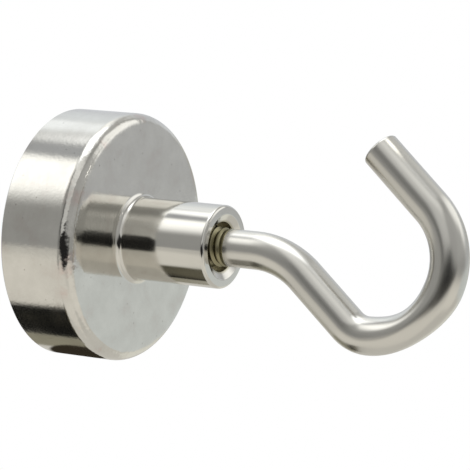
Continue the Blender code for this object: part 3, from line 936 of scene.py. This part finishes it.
def makeFloor():
    # matt painted board, with a little mottle
    material, tree, place = newMaterial("paleFloorBoard")
    mottle = addNode(tree, "ShaderNodeTexNoise", {
        "Vector": place, "Scale": studio["mottlesPerMetre"], "Detail": 3.0})
    pale, dull = (linear(colour) for colour in studio["boardColours"])
    tone = addNode(tree, "ShaderNodeMix", {"Factor": mottle, 6: pale, 7: dull}, data_type="RGBA")
    finishLook(tree, {"Base Color": tone.outputs[2], "Roughness": studio["boardRoughness"]})
    shape = bmesh.new()
    bmesh.ops.create_circle(shape, cap_ends=True, segments=96, radius=studio["floorRadius"])
    bmesh.ops.translate(shape, verts=shape.verts, vec=(0, 0, -studio["floorDrop"]))
    floor = toObject("floor", shape, material)
    floor.visible_glossy = False     # the plate mirrors the tent, which has the mats on it


def glowing(brightness, tint):
    # a colour as bright light, whose parts may pass one
    return [brightness * part for part in linear(tint)[:3]]


def patchTree():
    # lays one soft-edged patch over the colour below it
    tree, given = newGroup("softPatch", "ShaderNodeTree", {
        "Color": ("Below",), "Vector": ("Way", "Facing", "Side", "Up", "Glow"),
        "Float": ("Half Width", "Half Height", "Fade X", "Fade Y"),
    }, ("Colour", "Color"))
    depth = addNode(tree, "ShaderNodeVectorMath", {
        0: given["Way"], 1: given["Facing"]}, operation="DOT_PRODUCT").outputs["Value"]
    share = addNode(tree, "ShaderNodeMath", {
        0: depth, 1: studio["patchReach"]}, operation="GREATER_THAN")
    for across, half, fade in (("Side", "Half Width", "Fade X"), ("Up", "Half Height", "Fade Y")):
        offset = addNode(tree, "ShaderNodeVectorMath", {
            0: given["Way"], 1: given[across]}, operation="DOT_PRODUCT").outputs["Value"]
        inside = addNode(tree, "ShaderNodeMapRange", {
            "Value": ("ABSOLUTE", ("DIVIDE", offset, depth)),
            "From Min": ("ADD", given[half], given[fade]),
            "From Max": ("SUBTRACT", given[half], given[fade]),
        }, interpolation_type="SMOOTHSTEP")
        share = addNode(tree, "ShaderNodeMath", {0: share, 1: inside}, operation="MULTIPLY")
    mixed = addNode(tree, "ShaderNodeMix", {
        "Factor": share, 6: given["Below"], 7: given["Glow"]}, data_type="RGBA")
    addNode(tree, "NodeGroupOutput", {0: mixed.outputs[2]})
    return tree


def makeTent():
    material, tree, place = newMaterial("litTentCloth")
    way = addNode(tree, "ShaderNodeVectorMath", {0: place}, operation="NORMALIZE")
    low, high = (math.sin(math.radians(edge)) for edge in studio["floorEdge"])
    wallShare = addNode(tree, "ShaderNodeMapRange", {
        "Value": addNode(tree, "ShaderNodeSeparateXYZ", {0: way}).outputs[2],
        "From Min": low, "From Max": high}, interpolation_type="SMOOTHSTEP")
    colour = addNode(tree, "ShaderNodeMix", {
        "Factor": wallShare,
        6: (*glowing(studio["floorBrightness"], studio["floorColour"]), 1),
        7: (*glowing(studio["roomBrightness"], studio["roomColour"]), 1),
    }, data_type="RGBA").outputs[2]
    softPatch = patchTree()
    for azimuth, elevation, width, height, roll, softX, softY, brightness, tint in patches.values():
        azimuth, elevation, roll = (math.radians(angle) for angle in (azimuth, elevation, roll))
        width, height, softX, softY = (
            math.tan(math.radians(angle)) for angle in (width, height, softX, softY))
        facing = Vector((math.sin(azimuth) * math.cos(elevation),
                         math.cos(azimuth) * math.cos(elevation), math.sin(elevation)))
        side = Vector((math.cos(azimuth), -math.sin(azimuth), 0))
        up = side.cross(facing)
        turn, lean = math.cos(roll), math.sin(roll)
        colour = addNode(tree, "ShaderNodeGroup", {
            "Below": colour, "Way": way, "Facing": facing,
            "Side": side * turn + up * lean, "Up": up * turn - side * lean,
            "Half Width": width, "Half Height": height, "Fade X": softX / 2, "Fade Y": softY / 2,
            "Glow": glowing(brightness, tint),
        }, node_tree=softPatch).outputs[0]
    glow = addNode(tree, "ShaderNodeEmission", {"Color": colour, "Strength": 1.0})
    addNode(tree, "ShaderNodeOutputMaterial", {"Surface": glow})
    shape = bmesh.new()
    bmesh.ops.create_icosphere(shape, subdivisions=5, radius=studio["tentRadius"])
    tent = toObject("lightTent", shape, material)
    tent.visible_camera = False


# Two small oval cards close to the object, which only single spots mirror: a white one
# over the tip and a dark one beside the rim of the cup. Middle and half axes in mm.

cards = {
    "tipCard": {
        "middle": (-1.4, -39.5, 19.7), "sideways": (2.5, -0.1, 0.1), "upwards": (0, 1.35, 0.5),
        "brightness": 2.4, "colour": "#FFFDF6", "core": 0.55},
    "cupCard": {
        "middle": (1.7, -0.2, -15.5), "sideways": (-1.6, 2.8, 1.0), "upwards": (1.95, 0, 3.1),
        "brightness": 0.035, "colour": "#FFE9C4", "core": 0.86},
}


def makeCard(name, card):
    # glows evenly inside its core and fades out to nothing at its border
    material, tree = newMaterial(name + "Paper")[:2]
    reach = addNode(tree, "ShaderNodeVectorMath", {
        0: addNode(tree, "ShaderNodeUVMap", uv_map="UVMap")}, operation="LENGTH").outputs["Value"]
    share = addNode(tree, "ShaderNodeMapRange", {
        "Value": reach, "From Min": 1.0, "From Max": card["core"]}, interpolation_type="SMOOTHSTEP")
    glow = addNode(tree, "ShaderNodeEmission", {
        "Color": linear(card["colour"]), "Strength": card["brightness"]})
    mixed = addNode(tree, "ShaderNodeMixShader", {
        0: share, 1: addNode(tree, "ShaderNodeBsdfTransparent"), 2: glow})
    addNode(tree, "ShaderNodeOutputMaterial", {"Surface": mixed})
    shape = bmesh.new()
    mapLayer = shape.loops.layers.uv.new("UVMap")
    middle, sideways, upwards = (Vector(card[key]) * mm for key in ("middle", "sideways", "upwards"))
    corners = ((-1, -1), (1, -1), (1, 1), (-1, 1))
    paper = shape.faces.new([
        shape.verts.new(middle + sideways * u + upwards * v) for u, v in corners])
    for loop, corner in zip(paper.loops, corners):
        loop[mapLayer].uv = corner
    thing = toObject(name, shape, material)
    thing.visible_camera = False


def makeBackdrop():
    world = bpy.data.worlds.new("backdrop")
    world.use_nodes = True
    tree = world.node_tree
    tree.nodes.clear()
    white = addNode(tree, "ShaderNodeBackground", {"Color": linear(studio["backdrop"])})
    addNode(tree, "ShaderNodeOutputWorld", {"Surface": white})
    bpy.context.scene.world = world


makeFloor()
makeTent()
for cardName, card in cards.items():
    makeCard(cardName, card)
makeBackdrop()
print("studio set")
